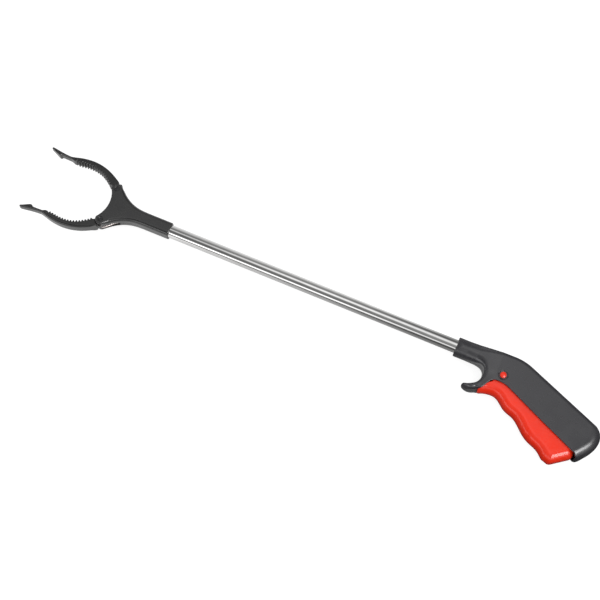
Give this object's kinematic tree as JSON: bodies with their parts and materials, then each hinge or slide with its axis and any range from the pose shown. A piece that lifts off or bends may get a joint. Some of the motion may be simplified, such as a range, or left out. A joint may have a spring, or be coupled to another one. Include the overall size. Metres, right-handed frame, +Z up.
{
  "type": "reacher grabber",
  "caption": "Hand-held reacher with a pistol handle and red trigger, a straight metal tube and a pair of curved toothed jaws that close when the trigger is squeezed.",
  "frame": {"origin": "middle of the bottom of the bounding box, with the tool lying on its right-hand side, so z = 0 is the outer flat face of the right handle shell", "axes": "+X along the shaft from the jaws to the butt of the handle, +Y towards the back of the handle, away from the fingers, +Z up, the axis direction of the trigger and jaw pivots"},
  "size_m": [0.6096, 0.1094, 0.0256],
  "materials": {
    "handle_plastic": "satin fine-grained dark grey",
    "trigger_red": "semi-gloss red",
    "pin_red": "gloss red cap",
    "zinc_steel": "zinc plated",
    "screw_steel": "dark zinc",
    "bright_steel": "ground bright",
    "chrome_tube": "polished plated tube",
    "nylon_white": "natural nylon",
    "spring_steel": "oiled spring wire",
    "link_wire": "drawn steel wire",
    "head_plastic": "satin black",
    "jaw_plastic": "satin black, fine grain",
    "pin_dark": "blackened steel"
  },
  "bodies": {
    "frame": {"handle_shell_left": "handle_plastic", "handle_shell_right": "handle_plastic", "trigger_pin": "pin_red", "pin_push_nut": "zinc_steel", "handle_screws": "screw_steel", "shaft_tube": "chrome_tube", "rear_rod_bush": "nylon_white", "front_rod_bush": "nylon_white", "return_spring": "spring_steel", "yoke_front_half": "head_plastic", "yoke_rear_half": "head_plastic", "yoke_screws": "screw_steel", "jaw_pin_upper": "pin_dark", "jaw_pin_lower": "pin_dark"},
    "trigger": {"trigger": "trigger_red", "drive_pin": "bright_steel"},
    "rod": {"push_rod": "bright_steel", "rod_end": "zinc_steel", "rod_end_set_screw": "screw_steel", "crosshead": "zinc_steel", "link_upper": "link_wire", "link_lower": "link_wire"},
    "upper_jaw": {"jaw_upper": "jaw_plastic"},
    "lower_jaw": {"jaw_lower": "jaw_plastic"}
  },
  "joints": [
    {"name": "trigger_pivot", "type": "hinge", "parent": "frame", "child": "trigger", "pos_m": [0.19992, 0.00368, 0.012], "axis": [0, 0, 1], "range_deg": [0, 12], "stiffness_Nm_per_rad": 0.6},
    {"name": "rod_slide", "type": "slide", "parent": "frame", "child": "rod", "axis": [-1, 0, 0], "range_m": [0, 0.00209], "deforming": ["return_spring"]},
    {"name": "upper_jaw_pivot", "type": "hinge", "parent": "frame", "child": "upper_jaw", "pos_m": [-0.22177, 0.03498, 0.012], "axis": [0, 0, 1], "range_deg": [0, 23.05]},
    {"name": "lower_jaw_pivot", "type": "hinge", "parent": "frame", "child": "lower_jaw", "pos_m": [-0.22177, -0.00142, 0.012], "axis": [0, 0, -1], "range_deg": [0, 23.05]}
  ],
  "couplings": [
    {"joint": "rod_slide", "follows": "trigger_pivot", "m_per_rad": 0.0098999},
    {"joint": "upper_jaw_pivot", "follows": "trigger_pivot", "ratio": 1.9167},
    {"joint": "lower_jaw_pivot", "follows": "trigger_pivot", "ratio": 1.9167}
  ]
}
